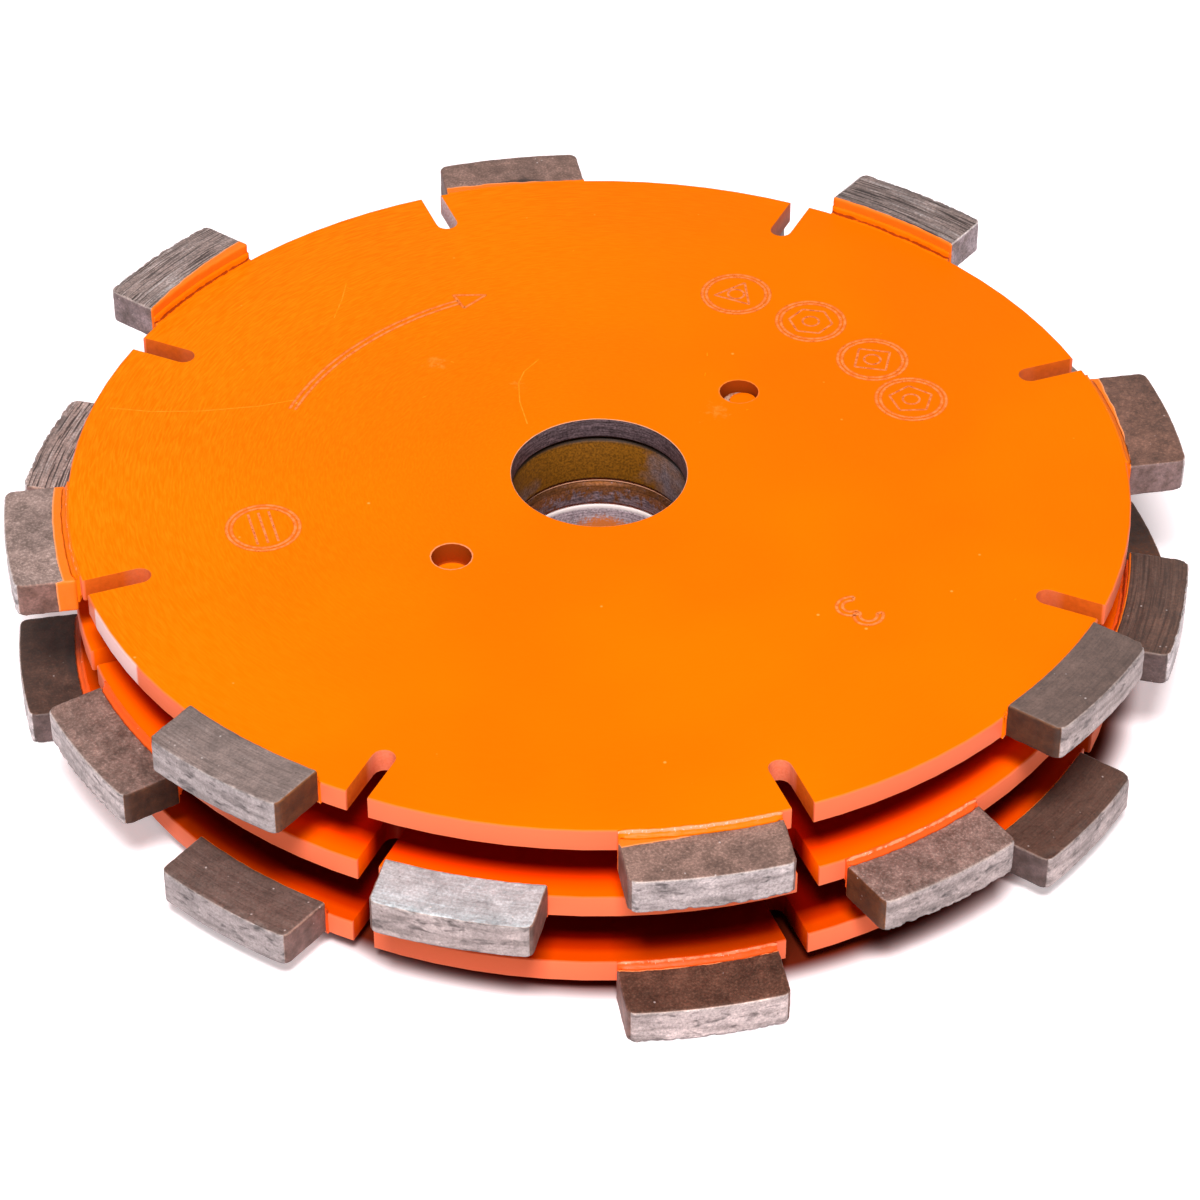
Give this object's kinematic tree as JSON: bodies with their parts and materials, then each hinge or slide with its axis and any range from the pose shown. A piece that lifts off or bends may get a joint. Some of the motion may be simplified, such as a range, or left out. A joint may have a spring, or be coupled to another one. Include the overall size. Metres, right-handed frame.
{
  "type": "diamond cutting disc pack",
  "caption": "Pack of slotted, painted diamond cutting discs with raised and lowered segments, set apart by spacer rings and kept in line by pins, for cutting a wide groove in masonry.",
  "frame": {"origin": "on the spindle axis, at the level of the undersides of the lowest segments, which it rests on", "axes": "+Z along the spindle axis, out of the upper disc's marked face; the pin holes lie on the line at 45 degrees between +X and +Y"},
  "size_m": [0.1494, 0.1494, 0.0288],
  "materials": {
    "orange_paint": "semi-gloss sprayed enamel over ground steel, bare in the bore",
    "sintered_segment": "sintered metal powder with diamond grit, ground on the crown",
    "spacer_steel": "turned steel, oiled and slightly browned"
  },
  "bodies": {
    "root": {"top_core": "orange_paint", "middle_core": "orange_paint", "bottom_core": "orange_paint", "top_segment_1": "sintered_segment", "top_segment_2": "sintered_segment", "top_segment_3": "sintered_segment", "top_segment_4": "sintered_segment", "top_segment_5": "sintered_segment", "top_segment_6": "sintered_segment", "top_segment_7": "sintered_segment", "top_segment_8": "sintered_segment", "middle_segment_1": "sintered_segment", "middle_segment_2": "sintered_segment", "middle_segment_3": "sintered_segment", "middle_segment_4": "sintered_segment", "middle_segment_5": "sintered_segment", "middle_segment_6": "sintered_segment", "middle_segment_7": "sintered_segment", "middle_segment_8": "sintered_segment", "bottom_segment_1": "sintered_segment", "bottom_segment_2": "sintered_segment", "bottom_segment_3": "sintered_segment", "bottom_segment_4": "sintered_segment", "bottom_segment_5": "sintered_segment", "bottom_segment_6": "sintered_segment", "bottom_segment_7": "sintered_segment", "bottom_segment_8": "sintered_segment", "upper_spacer": "spacer_steel", "lower_spacer": "spacer_steel", "locating_pin_1": "orange_paint", "locating_pin_2": "orange_paint"}
  },
  "joints": []
}
